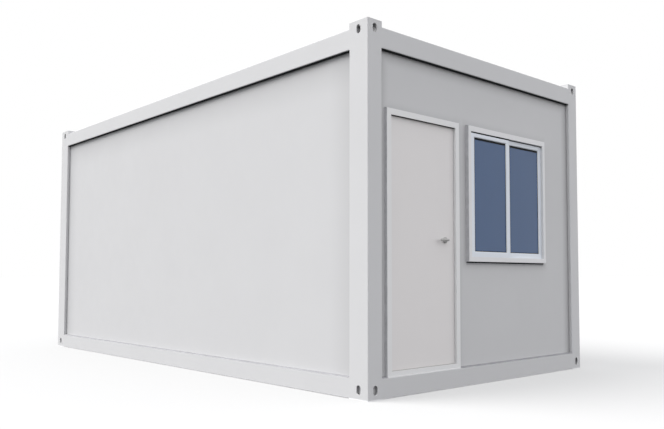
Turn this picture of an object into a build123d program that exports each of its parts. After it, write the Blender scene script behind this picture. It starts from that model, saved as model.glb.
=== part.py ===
"""Flat-pack container cabin: a folded steel frame with hollow corner fittings, closed by sandwich panels,
with a steel door that swings inwards and a sliding window in one end.

Lengths are in millimetres. The origin is on the ground under the middle of the cabin, +Z is up, the long
sides run along Y and the door end faces -Y. Depths are counted inwards from the outer face of the frame."""
import os

from build123d import *

os.makedirs("parts", exist_ok=True)

# Overall size
cabin_length = 6055.0
cabin_width = 2990.0
cabin_height = 2896.0

# Frame of folded steel
frame_sheet = 3.0
fold_radius = 8.0
post_side_width = 210.0
post_end_width = 150.0
post_return = 40.0
fitting_rise = 44.0
top_rail_height = 166.0
top_rail_flange = 60.0
roof_ledge = 40.0
roof_ledge_drop = 40.0
rail_shelf = 140.0
bottom_rail_height = 160.0
bottom_rail_foot = 60.0

# Corner fittings
fitting_wall = 10.0
fitting_slot_width = 46.0
fitting_slot_length = 72.0
fitting_slot_ground_gap = 75.0
fitting_slot_top_gap = 66.0
stacking_hole_width = 64.0
stacking_hole_length = 124.0

# Sandwich panels, ceiling, roof and floor
panel_recess = 35.0
panel_thickness = 75.0
wall_over_openings = 448.0
seal_height = 4.0
seal_set_back = 3.0
ceiling_thickness = 50.0
ceiling_bearing = 25.0
roof_sheet_thickness = 1.0
roof_rib_pitch = 200.0
roof_rib_height = 25.0
roof_rib_base = 70.0
roof_rib_crown = 30.0
roof_sheet_gap = 3.0
floor_thickness = 20.0
joist_width = 50.0
joist_height = 100.0
joist_wall = 3.0
joist_pitch = 600.0

# Door frame, leaf, hinges and lever
door_frame_left = 215.0
door_frame_width = 875.0
door_frame_depth = 10.0
door_jamb_face = 48.0
door_head_face = 48.0
door_stop_thickness = 20.0
door_stop_overlap = 15.0
leaf_gap = 5.0
leaf_lock_gap = 7.0
leaf_thickness = 40.0
leaf_edge = 2.0
hinge_length = 100.0
hinge_knuckle_radius = 8.0
hinge_pin_radius = 4.0
hinge_pin_gap = 0.3
hinge_plate_thickness = 2.0
hinge_plate_width = 30.0
hinge_play = 0.5
hinge_end_distance = 250.0
lever_backset = 125.0
lever_above_floor = 1050.0
lever_length = 118.0
lever_width = 20.0
lever_thickness = 12.0
lever_reach = 45.0
lever_neck_radius = 9.0
lever_neck_gap = 0.3
spindle_side = 8.0
spindle_hole_radius = 12.0
rose_radius = 26.0
rose_thickness = 9.0

# Sliding window
wall_beside_door = 118.0
wall_beside_window = 600.0
window_bottom = 1055.0
window_jamb_face = 38.0
window_head_face = 48.0
window_sill_face = 42.0
window_edge = 2.0
window_lip_height = 12.0
window_lip_thickness = 6.0
sash_front_depth = 2.0
sash_thickness = 20.0
sash_track_gap = 1.0
sash_overlap = 6.0
sash_face = 47.0
sash_edge = 1.5
glazing_slope = 6.0
glass_thickness = 5.0

# Places that follow from the sizes above
half_length = cabin_length / 2
half_width = cabin_width / 2
rail_top = cabin_height - fitting_rise
wall_top = rail_top - top_rail_height
wall_bottom = bottom_rail_height
wall_height = wall_top - wall_bottom
panel_back = panel_recess + panel_thickness
room_half_width = half_width - panel_back
room_half_length = half_length - panel_back
floor_top = wall_bottom + floor_thickness

# The pieces of one corner are drawn at the front left and mirrored to the others
corners = {
    "front_left": (),
    "front_right": (Plane.YZ,),
    "rear_left": (Plane.XZ,),
    "rear_right": (Plane.YZ, Plane.XZ),
}


def front_plane(depth):
    """The upright plane across the door end at a depth inside its outer face; sketches on it read (x, z)."""
    return Plane.XZ.offset(half_length - depth)


def from_left(distance):
    """The x of a point that lies a distance from the cabin's left side."""
    return distance - half_width


def block(low_x, high_x, low_z, high_z, depth, thickness):
    """An upright block of the door end, from a depth inwards."""
    with BuildPart() as upright:
        with BuildSketch(front_plane(depth)):
            with Locations((low_x, low_z)):
                Rectangle(high_x - low_x, high_z - low_z, align=Align.MIN)
        extrude(amount=-thickness)
    return upright.part


# Corner posts: one folded sheet round the corner, with a return at each edge that the panels seat against
for place, mirror_planes in corners.items():
    with BuildPart() as corner_post:
        with BuildSketch(Plane((-half_width, -half_length, wall_bottom))):
            with BuildLine():
                FilletPolyline(
                    (post_end_width - post_return, panel_recess),
                    (post_end_width, panel_recess),
                    (post_end_width, 0),
                    (0, 0),
                    (0, post_side_width),
                    (panel_recess, post_side_width),
                    (panel_recess, post_side_width - post_return),
                    radius=fold_radius,
                )
                offset(amount=frame_sheet, side=Side.RIGHT)
            make_face()
        extrude(amount=wall_height)
        for plane in mirror_planes:
            mirror(about=plane, mode=Mode.REPLACE)
    corner_post.part.label = f"corner_post_{place}"
    export_step(corner_post.part, f"parts/corner_post_{place}.step")

# Corner fittings: hollow boxes with an oblong hole in each outer face, where slings and stacking locks hold
fitting_levels = {
    "top": (wall_top, cabin_height, cabin_height - fitting_slot_top_gap, cabin_height),
    "bottom": (0, wall_bottom, fitting_slot_ground_gap, fitting_wall),
}
for level, (fitting_low, fitting_high, slot_z, plate_z) in fitting_levels.items():
    for place, mirror_planes in corners.items():
        with BuildPart() as corner_fitting:
            with BuildSketch(Plane.XY.offset(fitting_low)) as outline:
                with Locations((-half_width, -half_length)):
                    Rectangle(post_end_width, post_side_width, align=Align.MIN)
                outer_corner = outline.vertices().sort_by(Axis((0, 0, 0), (1, 1, 0)))[0]
                fillet(outer_corner, radius=fold_radius)
            extrude(amount=fitting_high - fitting_low)
            with BuildSketch(Plane.XY.offset(fitting_low + fitting_wall)):
                with Locations((-half_width + fitting_wall, -half_length + fitting_wall)):
                    Rectangle(
                        post_end_width - 2 * fitting_wall,
                        post_side_width - 2 * fitting_wall,
                        align=Align.MIN,
                    )
            extrude(amount=fitting_high - fitting_low - 2 * fitting_wall, mode=Mode.SUBTRACT)
            with BuildSketch(Plane.XZ.offset(half_length)):
                with Locations((-half_width + post_end_width / 2, slot_z)):
                    SlotOverall(fitting_slot_length, fitting_slot_width, rotation=90)
            extrude(amount=-fitting_wall, mode=Mode.SUBTRACT)
            with BuildSketch(Plane.YZ.offset(-half_width)):
                with Locations((-half_length + post_side_width / 2, slot_z)):
                    SlotOverall(fitting_slot_length, fitting_slot_width, rotation=90)
            extrude(amount=fitting_wall, mode=Mode.SUBTRACT)
            with BuildSketch(Plane.XY.offset(plate_z)):
                with Locations((-half_width + post_end_width / 2, -half_length + post_side_width / 2)):
                    SlotOverall(stacking_hole_length, stacking_hole_width, rotation=90)
            extrude(amount=-fitting_wall, mode=Mode.SUBTRACT)
            for plane in mirror_planes:
                mirror(about=plane, mode=Mode.REPLACE)
        corner_fitting.part.label = f"corner_fitting_{level}_{place}"
        export_step(corner_fitting.part, f"parts/corner_fitting_{level}_{place}.step")

# Rails between the fittings. Each is drawn square to its run: inwards from the frame's face, then upwards
side_rail_length = cabin_length - 2 * post_side_width
end_rail_length = cabin_width - 2 * post_end_width
rail_runs = {
    "left": (Plane((-half_width, 0, 0), x_dir=(1, 0, 0), z_dir=(0, -1, 0)), side_rail_length),
    "right": (Plane((half_width, 0, 0), x_dir=(-1, 0, 0), z_dir=(0, 1, 0)), side_rail_length),
    "front": (Plane((0, -half_length, 0), x_dir=(0, 1, 0), z_dir=(1, 0, 0)), end_rail_length),
    "rear": (Plane((0, half_length, 0), x_dir=(0, -1, 0), z_dir=(-1, 0, 0)), end_rail_length),
}

# Top rails: a fascia with a gutter ledge for the roof sheet and a shelf over the panels for the ceiling
for place, (rail_plane, rail_length) in rail_runs.items():
    with BuildPart() as top_rail:
        with BuildSketch(rail_plane):
            with BuildLine():
                FilletPolyline(
                    (rail_shelf, wall_top),
                    (0, wall_top),
                    (0, rail_top),
                    (top_rail_flange, rail_top),
                    (top_rail_flange, rail_top - roof_ledge_drop),
                    (top_rail_flange + roof_ledge, rail_top - roof_ledge_drop),
                    radius=fold_radius,
                )
                offset(amount=frame_sheet, side=Side.RIGHT)
            make_face()
        extrude(amount=rail_length / 2, both=True)
    top_rail.part.label = f"top_rail_{place}"
    export_step(top_rail.part, f"parts/top_rail_{place}.step")

# Bottom rails: a channel that the panels and the floor's edge stand on
for place, (rail_plane, rail_length) in rail_runs.items():
    with BuildPart() as bottom_rail:
        with BuildSketch(rail_plane):
            with BuildLine():
                FilletPolyline(
                    (bottom_rail_foot, 0),
                    (0, 0),
                    (0, bottom_rail_height),
                    (rail_shelf, bottom_rail_height),
                    radius=fold_radius,
                )
                offset(amount=frame_sheet, side=Side.RIGHT)
            make_face()
        extrude(amount=rail_length / 2, both=True)
    bottom_rail.part.label = f"bottom_rail_{place}"
    export_step(bottom_rail.part, f"parts/bottom_rail_{place}.step")

# Rubber seals under the top rails, in the recess in front of the panels
with BuildPart() as top_seals:
    for rail_plane, rail_length in rail_runs.values():
        with BuildSketch(rail_plane):
            with Locations((seal_set_back, wall_top)):
                Rectangle(panel_recess - seal_set_back, seal_height, align=(Align.MIN, Align.MAX))
        extrude(amount=rail_length / 2, both=True)
top_seals.part.label = "top_seals"
export_step(top_seals.part, "parts/top_seals.step")

# Ceiling panel: lies on the shelves of the top rails, notched round the corner fittings
ceiling_inset = rail_shelf - ceiling_bearing
with BuildPart() as ceiling_panel:
    with BuildSketch(Plane.XY.offset(wall_top + frame_sheet)):
        Rectangle(cabin_width - 2 * ceiling_inset, cabin_length - 2 * ceiling_inset)
        with GridLocations(cabin_width, cabin_length, 2, 2):
            Rectangle(2 * post_end_width, 2 * post_side_width, mode=Mode.SUBTRACT)
    extrude(amount=ceiling_thickness)
ceiling_panel.part.label = "ceiling_panel"
export_step(ceiling_panel.part, "parts/ceiling_panel.step")

# Roof sheet: trapezoid ribs across the cabin, lying in the gutter ledges of the top rails
roof_inset = top_rail_flange + fold_radius + roof_sheet_gap
roof_half_width = half_width - roof_inset
roof_half_length = half_length - roof_inset
rib_count = int((2 * roof_half_length - roof_rib_base) / roof_rib_pitch)
roof_outline = [(-roof_half_length, 0)]
for rib in range(rib_count):
    rib_middle = (rib - (rib_count - 1) / 2) * roof_rib_pitch
    roof_outline.append((rib_middle - roof_rib_base / 2, 0))
    roof_outline.append((rib_middle - roof_rib_crown / 2, roof_rib_height))
    roof_outline.append((rib_middle + roof_rib_crown / 2, roof_rib_height))
    roof_outline.append((rib_middle + roof_rib_base / 2, 0))
roof_outline.append((roof_half_length, 0))
roof_plane = Plane((0, 0, rail_top - roof_ledge_drop), x_dir=(0, 1, 0), z_dir=(1, 0, 0))
with BuildPart() as roof_sheet:
    with BuildSketch(roof_plane):
        with BuildLine():
            Polyline(*roof_outline)
            offset(amount=roof_sheet_thickness, side=Side.LEFT, kind=Kind.INTERSECTION)
        make_face()
    extrude(amount=roof_half_width, both=True)
    with BuildSketch(Plane.XY.offset(wall_top)):
        with GridLocations(cabin_width, cabin_length, 2, 2):
            Rectangle(2 * post_end_width, 2 * post_side_width)
    extrude(amount=cabin_height - wall_top, mode=Mode.SUBTRACT)
roof_sheet.part.label = "roof_sheet"
export_step(roof_sheet.part, "parts/roof_sheet.step")

# Floor: a board between the walls, on hollow joists that span between the side rails
with BuildPart() as floor_panel:
    with BuildSketch(Plane.XY.offset(wall_bottom)):
        Rectangle(2 * room_half_width, 2 * room_half_length)
    extrude(amount=floor_thickness)
floor_panel.part.label = "floor_panel"
export_step(floor_panel.part, "parts/floor_panel.step")

joist_count = int((cabin_length - 2 * rail_shelf - joist_width) / joist_pitch)
with BuildPart() as floor_joists:
    with BuildSketch(Plane.YZ):
        with GridLocations(joist_pitch, 0, joist_count, 1):
            with Locations((0, wall_bottom - joist_height / 2)):
                Rectangle(joist_width, joist_height)
                Rectangle(joist_width - 2 * joist_wall, joist_height - 2 * joist_wall, mode=Mode.SUBTRACT)
    extrude(amount=half_width - rail_shelf, both=True)
floor_joists.part.label = "floor_joists"
export_step(floor_joists.part, "parts/floor_joists.step")

# Side walls: they run through behind the posts, and the end walls stand between them
for place, side in (("left", -1), ("right", 1)):
    with BuildPart() as side_wall:
        with BuildSketch(Plane.XY.offset(wall_bottom)):
            with Locations((side * (half_width - panel_recess - panel_thickness / 2), 0)):
                Rectangle(panel_thickness, cabin_length - 2 * panel_recess)
        extrude(amount=wall_height)
    side_wall.part.label = f"{place}_wall"
    export_step(side_wall.part, f"parts/{place}_wall.step")

with BuildPart() as rear_wall:
    with BuildSketch(Plane.XY.offset(wall_bottom)):
        with Locations((0, half_length - panel_recess - panel_thickness / 2)):
            Rectangle(2 * room_half_width, panel_thickness)
    extrude(amount=wall_height)
rear_wall.part.label = "rear_wall"
export_step(rear_wall.part, "parts/rear_wall.step")

# Front wall: panels beside, between, over and under the door and the window
door_left = from_left(door_frame_left)
door_right = door_left + door_frame_width
openings_top = wall_top - wall_over_openings
window_left = door_right + wall_beside_door
window_right = half_width - wall_beside_window
front_panels = {
    "front_wall_left": (-room_half_width, door_left, wall_bottom, openings_top),
    "front_wall_middle": (door_right, window_left, wall_bottom, openings_top),
    "front_wall_under_window": (window_left, window_right, wall_bottom, window_bottom),
    "front_wall_right": (window_right, room_half_width, wall_bottom, openings_top),
    "front_wall_over_openings": (-room_half_width, room_half_width, openings_top, wall_top),
}
for name, (low_x, high_x, low_z, high_z) in front_panels.items():
    with BuildPart() as front_panel:
        add(block(low_x, high_x, low_z, high_z, panel_recess, panel_thickness))
    front_panel.part.label = name
    export_step(front_panel.part, f"parts/{name}.step")

# Door frame: rebated jambs, head and threshold; the stop in front of the rebate hides the leaf's edge
stop_back = door_frame_depth + door_stop_thickness
rebate_face = door_jamb_face - door_stop_overlap
rebate_left = door_left + rebate_face
rebate_right = door_right - rebate_face
stop_left = door_left + door_jamb_face
stop_right = door_right - door_jamb_face
stop_top = openings_top - door_head_face
rebate_top = stop_top + door_stop_overlap
leaf_bottom = floor_top + leaf_gap
stop_bottom = leaf_bottom + door_stop_overlap
jamb_height = openings_top - wall_bottom
with BuildPart() as door_jambs:
    for outer_x, inwards in ((door_left, 1), (door_right, -1)):
        with BuildSketch(Plane((outer_x, -half_length, wall_bottom))):
            with BuildLine():
                Polyline(
                    (0, door_frame_depth),
                    (inwards * door_jamb_face, door_frame_depth),
                    (inwards * door_jamb_face, stop_back),
                    (inwards * rebate_face, stop_back),
                    (inwards * rebate_face, panel_back),
                    (0, panel_back),
                    close=True,
                )
            make_face()
        extrude(amount=jamb_height)
door_jambs.part.label = "door_jambs"
export_step(door_jambs.part, "parts/door_jambs.step")

rebate_depth = panel_back - stop_back
with BuildPart() as door_head:
    add(block(stop_left, stop_right, stop_top, openings_top, door_frame_depth, door_stop_thickness))
    add(block(rebate_left, rebate_right, rebate_top, openings_top, stop_back, rebate_depth))
door_head.part.label = "door_head"
export_step(door_head.part, "parts/door_head.step")

with BuildPart() as door_threshold:
    add(block(stop_left, stop_right, wall_bottom, stop_bottom, door_frame_depth, door_stop_thickness))
    add(block(rebate_left, rebate_right, wall_bottom, floor_top, stop_back, rebate_depth))
door_threshold.part.label = "door_threshold"
export_step(door_threshold.part, "parts/door_threshold.step")

# Door leaf, with a hole for the lever's spindle
leaf_depth = stop_back + leaf_gap
leaf_back = leaf_depth + leaf_thickness
leaf_left = rebate_left + leaf_gap
leaf_right = rebate_right - leaf_lock_gap
leaf_top = rebate_top - leaf_gap
lever_x = leaf_right - lever_backset
lever_z = floor_top + lever_above_floor
with BuildPart() as door_leaf:
    add(block(leaf_left, leaf_right, leaf_bottom, leaf_top, leaf_depth, leaf_thickness))
    chamfer(door_leaf.edges().filter_by(Axis.Z), length=leaf_edge)
    with BuildSketch(front_plane(leaf_depth)):
        with Locations((lever_x, lever_z)):
            Circle(spindle_hole_radius)
    extrude(amount=-leaf_thickness, mode=Mode.SUBTRACT)
door_leaf.part.label = "door_leaf"
export_step(door_leaf.part, "parts/door_leaf.step")

# Hinges on the room side: plates on the jamb carry the outer knuckles and the pin
knuckle_length = (hinge_length - 2 * hinge_play) / 3
hinge_x = rebate_left + hinge_plate_thickness + hinge_play + hinge_knuckle_radius
hinge_depth = leaf_back + hinge_plate_thickness + hinge_play + hinge_knuckle_radius
hinge_y = hinge_depth - half_length
hinge_low = leaf_bottom + hinge_end_distance
hinge_high = leaf_top - hinge_end_distance
hinge_bases = [middle - hinge_length / 2 for middle in (hinge_low, (hinge_low + hinge_high) / 2, hinge_high)]
with BuildPart() as jamb_hinges:
    for base_z in hinge_bases:
        with BuildSketch(Plane.XY.offset(base_z)):
            with Locations((rebate_left, hinge_y)):
                Rectangle(hinge_plate_thickness, hinge_plate_width, align=Align.MIN)
        extrude(amount=hinge_length)
        for knuckle_z in (base_z, base_z + hinge_length - knuckle_length):
            with BuildSketch(Plane.XY.offset(knuckle_z)):
                with Locations((hinge_x, hinge_y)):
                    Circle(hinge_knuckle_radius)
                with Locations((rebate_left, hinge_y)):
                    Rectangle(hinge_x - rebate_left, hinge_knuckle_radius, align=Align.MIN)
            extrude(amount=knuckle_length)
        with BuildSketch(Plane.XY.offset(base_z)):
            with Locations((hinge_x, hinge_y)):
                Circle(hinge_pin_radius)
        extrude(amount=hinge_length)
jamb_hinges.part.label = "jamb_hinges"
export_step(jamb_hinges.part, "parts/jamb_hinges.step")

# Plates on the leaf carry the middle knuckles, which turn on the pins
leaf_back_y = leaf_back - half_length
with BuildPart() as leaf_hinges:
    for base_z in hinge_bases:
        with BuildSketch(Plane.XY.offset(base_z)):
            with Locations((hinge_x, leaf_back_y)):
                Rectangle(hinge_plate_width, hinge_plate_thickness, align=Align.MIN)
        extrude(amount=hinge_length)
        with BuildSketch(Plane.XY.offset(base_z + knuckle_length + hinge_play)):
            with Locations((hinge_x, hinge_y)):
                Circle(hinge_knuckle_radius)
            with Locations((hinge_x, leaf_back_y)):
                Rectangle(hinge_knuckle_radius, hinge_y - leaf_back_y, align=Align.MIN)
            with Locations((hinge_x, hinge_y)):
                Circle(hinge_pin_radius + hinge_pin_gap, mode=Mode.SUBTRACT)
        extrude(amount=knuckle_length)
leaf_hinges.part.label = "leaf_hinges"
export_step(leaf_hinges.part, "parts/leaf_hinges.step")

# Roses on both faces of the leaf carry the lever's necks
with BuildPart() as lever_roses:
    for rose_depth, outwards in ((leaf_depth, 1), (leaf_back, -1)):
        with BuildSketch(front_plane(rose_depth)):
            with Locations((lever_x, lever_z)):
                Circle(rose_radius)
                Circle(lever_neck_radius + lever_neck_gap, mode=Mode.SUBTRACT)
        extrude(amount=outwards * rose_thickness)
lever_roses.part.label = "lever_roses"
export_step(lever_roses.part, "parts/lever_roses.step")

# Lever: a grip on each side of the leaf, joined by necks and a spindle
grip_x = lever_x - (lever_length - lever_width) / 2
with BuildPart() as door_lever:
    for face_depth, outwards in ((leaf_depth, 1), (leaf_back, -1)):
        with BuildSketch(front_plane(face_depth - outwards * lever_reach)):
            with Locations((grip_x, lever_z)):
                SlotOverall(lever_length, lever_width)
        extrude(amount=outwards * lever_thickness)
        with BuildSketch(front_plane(face_depth)):
            with Locations((lever_x, lever_z)):
                Circle(lever_neck_radius)
        extrude(amount=outwards * lever_reach)
    with BuildSketch(front_plane(leaf_depth)):
        with Locations((lever_x, lever_z)):
            Rectangle(spindle_side, spindle_side)
    extrude(amount=-leaf_thickness)
door_lever.part.label = "door_lever"
export_step(door_lever.part, "parts/door_lever.step")

# Window frame: four lengths mitred at the corners, each with a lip behind the sashes on the room side
window_inner_left = window_left + window_jamb_face
window_inner_right = window_right - window_jamb_face
window_inner_bottom = window_bottom + window_sill_face
window_inner_top = openings_top - window_head_face
window_lip_depth = sash_front_depth + 2 * (sash_thickness + sash_track_gap)


def window_corners(left, right, bottom, top, inset):
    """The named corners of a rectangle of the window, drawn in by an inset."""
    return {
        "bottom_left": (left + inset, bottom + inset),
        "top_left": (left + inset, top - inset),
        "top_right": (right - inset, top - inset),
        "bottom_right": (right - inset, bottom + inset),
    }


outer_corners = window_corners(window_left, window_right, window_bottom, openings_top, 0)
inner_edges = (window_inner_left, window_inner_right, window_inner_bottom, window_inner_top)
inner_corners = window_corners(*inner_edges, 0)
lip_corners = window_corners(*inner_edges, window_lip_height)


def window_length(start, end):
    """One mitred length of the window's frame from one corner to the next, with its lip."""
    with BuildPart() as length:
        with BuildSketch(front_plane(0)):
            with BuildLine():
                Polyline(
                    outer_corners[start],
                    outer_corners[end],
                    inner_corners[end],
                    inner_corners[start],
                    close=True,
                )
            make_face()
        extrude(amount=-panel_back)
        front_edges = length.faces().sort_by(Axis.Y)[0].edges()
        run = Vector(*outer_corners[end]) - Vector(*outer_corners[start])
        chamfer(front_edges.filter_by(Axis((0, 0, 0), (run.X, 0, run.Y))), length=window_edge)
        with BuildSketch(front_plane(window_lip_depth)):
            with BuildLine():
                Polyline(
                    inner_corners[start],
                    inner_corners[end],
                    lip_corners[end],
                    lip_corners[start],
                    close=True,
                )
            make_face()
        extrude(amount=-window_lip_thickness)
    return length.part


window_lengths = {
    "window_jambs": (("bottom_left", "top_left"), ("top_right", "bottom_right")),
    "window_head": (("top_left", "top_right"),),
    "window_sill": (("bottom_right", "bottom_left"),),
}
for name, runs in window_lengths.items():
    with BuildPart() as window_frame:
        for start, end in runs:
            add(window_length(start, end))
    window_frame.part.label = name
    export_step(window_frame.part, f"parts/{name}.step")

# Sashes in two tracks, the left one in front, with a pane of glass in each
sash_width = (window_inner_right - window_inner_left + sash_overlap) / 2
sash_height = window_inner_top - window_inner_bottom
sash_middle_z = window_inner_bottom + sash_height / 2
sash_places = (
    (window_inner_left + sash_width / 2, sash_front_depth),
    (window_inner_right - sash_width / 2, sash_front_depth + sash_thickness + sash_track_gap),
)
with BuildPart() as window_sashes:
    for sash_x, sash_depth in sash_places:
        with BuildSketch(front_plane(sash_depth)):
            with Locations((sash_x, sash_middle_z)):
                Rectangle(sash_width, sash_height)
                Rectangle(sash_width - 2 * sash_face, sash_height - 2 * sash_face, mode=Mode.SUBTRACT)
        extrude(amount=-sash_thickness)
        sash_front = window_sashes.faces(Select.LAST).sort_by(Axis.Y)[0]
        glazing_edges = sash_front.inner_wires()[0].edges()
        outer_edges = sash_front.outer_wire().edges()
        chamfer(glazing_edges, length=glazing_slope)
        chamfer(outer_edges, length=sash_edge)
window_sashes.part.label = "window_sashes"
export_step(window_sashes.part, "parts/window_sashes.step")

with BuildPart() as window_glass:
    for sash_x, sash_depth in sash_places:
        with BuildSketch(front_plane(sash_depth + (sash_thickness - glass_thickness) / 2)):
            with Locations((sash_x, sash_middle_z)):
                Rectangle(sash_width - 2 * sash_face, sash_height - 2 * sash_face)
        extrude(amount=-glass_thickness)
window_glass.part.label = "window_glass"
export_step(window_glass.part, "parts/window_glass.step")
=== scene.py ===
"""Dressed model of a flat-pack container cabin.

Laid out as an add-on and run as a script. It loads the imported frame, gives each solid its finish, adds the
small pieces that the solids leave out, and sets up the camera and the light. Lengths are in metres.
"""
import math

import bmesh
import bpy
from bmesh.types import BMEdge, BMVert
from mathutils import Matrix, Vector


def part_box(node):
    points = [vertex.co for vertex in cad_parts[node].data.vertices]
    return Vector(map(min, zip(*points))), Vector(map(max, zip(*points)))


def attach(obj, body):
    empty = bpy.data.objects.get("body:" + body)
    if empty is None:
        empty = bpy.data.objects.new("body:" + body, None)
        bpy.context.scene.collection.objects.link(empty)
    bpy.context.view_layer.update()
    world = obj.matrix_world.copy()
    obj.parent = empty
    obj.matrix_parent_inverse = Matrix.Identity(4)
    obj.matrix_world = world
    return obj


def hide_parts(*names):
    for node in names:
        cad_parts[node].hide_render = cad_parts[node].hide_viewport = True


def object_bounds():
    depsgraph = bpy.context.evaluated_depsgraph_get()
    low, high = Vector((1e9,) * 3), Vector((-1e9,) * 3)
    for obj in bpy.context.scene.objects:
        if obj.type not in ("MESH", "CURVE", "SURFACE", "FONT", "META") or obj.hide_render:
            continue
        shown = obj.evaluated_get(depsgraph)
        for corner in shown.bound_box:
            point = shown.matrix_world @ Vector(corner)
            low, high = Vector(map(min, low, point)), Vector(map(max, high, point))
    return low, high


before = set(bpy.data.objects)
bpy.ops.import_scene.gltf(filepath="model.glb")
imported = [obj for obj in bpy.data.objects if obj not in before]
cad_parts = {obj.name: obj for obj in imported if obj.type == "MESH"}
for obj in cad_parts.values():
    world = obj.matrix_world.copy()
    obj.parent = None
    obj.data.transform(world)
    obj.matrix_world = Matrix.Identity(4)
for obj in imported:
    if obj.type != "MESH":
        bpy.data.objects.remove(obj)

bl_info = {
    "name": "Container cabin",
    "version": (1, 0, 0),
    "blender": (4, 5, 0),
    "location": "3D View > Sidebar > Cabin",
    "description": "Finishes, small pieces and studio of a flat-pack container cabin",
    "category": "Object",
}

MM = 0.001
WELD_DISTANCE = 0.01 * MM
SHARP_ANGLE = math.radians(35)
QUARTER_TURN = math.radians(90)
UPWARDS = Matrix.Identity(4)
TOWARDS_RIGHT = Matrix.Rotation(QUARTER_TURN, 4, "Y")
TOWARDS_ROOM = Matrix.Rotation(-QUARTER_TURN, 4, "X")
PICTURE_WIDTH = 664
PICTURE_HEIGHT = 429
# Axes that a bar can run along: x, y and z
ACROSS, ALONG, UPRIGHT = range(3)
# A span that reaches past the cabin at both ends
ENDLESS = (-10, 10)

cad_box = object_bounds()


def linear(code):
    """An sRGB hex colour as linear red, green and blue, with full alpha."""
    channels = []
    for start in (1, 3, 5):
        value = int(code[start:start + 2], 16) / 255
        channels.append(value / 12.92 if value <= 0.04045 else ((value + 0.055) / 1.055) ** 2.4)
    return (*channels, 1.0)


def per_mm(size):
    """The scale of a pattern, in repeats to the metre, whose features are a size in millimetres across."""
    return 1 / (size * MM)


# Values that a user would change


def colour(name, description, code):
    """A colour that a user can change."""
    return bpy.props.FloatVectorProperty(
        name=name, description=description, default=linear(code), size=4, min=0, max=1, subtype="COLOR"
    )


def length(name, description, millimetres):
    """A length that a user can change."""
    return bpy.props.FloatProperty(
        name=name, description=description, default=millimetres * MM, precision=4, unit="LENGTH"
    )


def angle(name, description, degrees):
    """An angle that a user can change."""
    return bpy.props.FloatProperty(
        name=name, description=description, default=math.radians(degrees), subtype="ANGLE"
    )


def number(name, description, default, subtype="NONE"):
    """A plain number that a user can change."""
    return bpy.props.FloatProperty(name=name, description=description, default=default, subtype=subtype)


def vector(name, description, default, subtype, unit="NONE"):
    """A place or a direction that a user can change."""
    return bpy.props.FloatVectorProperty(
        name=name, description=description, default=default, size=len(default), subtype=subtype, unit=unit
    )


class CabinColours(bpy.types.PropertyGroup):
    """Colours of the cabin's coats, plastics and metals."""

    frame_paint: colour("Frame paint", "Posts, rails and corner fittings", "#C0C0C1")
    wall_coating: colour("Wall coating", "Steel skins of the wall panels", "#BDBDBE")
    ceiling_coating: colour("Ceiling coating", "Steel skin of the ceiling panel", "#E4E5E4")
    door_paint: colour("Door paint", "Door leaf", "#D6D3D2")
    door_frame_paint: colour("Door frame paint", "Jambs, head and threshold", "#D8D8D8")
    window_plastic: colour("Window plastic", "Window frame", "#D5D5D6")
    sash_plastic: colour("Sash plastic", "Sliding sashes", "#D4D9E0")
    trim_plastic: colour("Trim plastic", "Skirting and ceiling strips", "#E6E6E3")
    glass: colour("Glass", "Body tint of the window panes", "#4F6F9C")
    # Painted shadow: this black on the top rails' seals, the head and sill seals, the door's head brush and
    # the tops of the glazing gaskets stands in for shadow lines; on the roof washers it is their own colour
    rubber: colour("Rubber", "Seals and gaskets", "#101214")
    grey_rubber: colour("Grey rubber", "Gasket on the door stop", "#A2A4A6")
    # Painted shade: the sealant's grey, darker than the walls, stands in for the shade along the ledges
    # under the walls and over the heads of door and window
    sealant: colour("Sealant", "Sealant along the joints of the walls", "#808082")
    # Painted shade: this grey stands in for the shade in the corners beside the door's and the window's
    # frames and under the window's sill
    silicone: colour("Silicone", "Fillets beside the frames of door and window", "#A0A0A2")
    steel: colour("Steel", "Hinges, latch and screws", "#A9A7A4")
    lever_lacquer: colour("Lever lacquer", "Lever handle and its roses", "#A3A2A0")
    zinc: colour("Zinc", "Roof sheet and floor joists", "#B9BEC2")
    floor: colour("Floor covering", "Sheet over the floor board", "#8D9093")


class CabinSizes(bpy.types.PropertyGroup):
    """Sizes of the small pieces that the solids leave out."""

    sash_overlap: length("Sash overlap", "How far the sashes pass each other", 6)
    sash_thickness: length("Sash thickness", "Thickness of one sash", 20)
    glass_thickness: length("Glass thickness", "Thickness of one pane", 5)
    gasket_sight: length("Gasket sight", "Width of the glazing gasket that shows on the glass", 7)
    gasket_rise: length("Gasket rise", "How far the glazing gasket stands off the glass", 1.2)
    # Painted shadow: the extra height of the black gasket along a pane's top stands in for the shadow under
    # the sash's top rail
    painted_shadow_gasket_top: length("Gasket top", "Extra height of the glazing gasket along the top of a pane", 11)
    # Painted shadow: the black seal under the head stands in for the shadow line there
    head_shadow_seal_height: length("Head seal height", "Height of the seal between head and front sash", 11)
    # Painted shadow: the black seal under the sill stands in for the shadow that the sill casts on the wall
    sill_shadow_seal_height: length("Sill seal height", "Height of the seal between window sill and wall", 11)
    sill_shadow_seal_rise: length("Sill seal rise", "How far that seal stands off the wall", 6)
    joint_seal_height: length("Joint seal height", "Height of the sealant between walls and bottom rails", 6)
    door_gasket_width: length("Door gasket width", "Width of the gasket on the door stop", 6)
    door_gasket_rise: length("Door gasket rise", "How far that gasket stands off the stop", 4)
    skirting_height: length("Skirting height", "Height of the skirting in the room", 60)
    skirting_thickness: length("Skirting thickness", "Thickness of the skirting at the floor", 12)
    ceiling_strip_width: length("Ceiling strip width", "Width of the strips over the ceiling's joints", 40)
    ceiling_panel_width: length("Ceiling panel width", "Distance between the ceiling's joints", 1150)
    roof_rib_pitch: length("Roof rib pitch", "Distance between the ribs of the roof sheet", 200)


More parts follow.
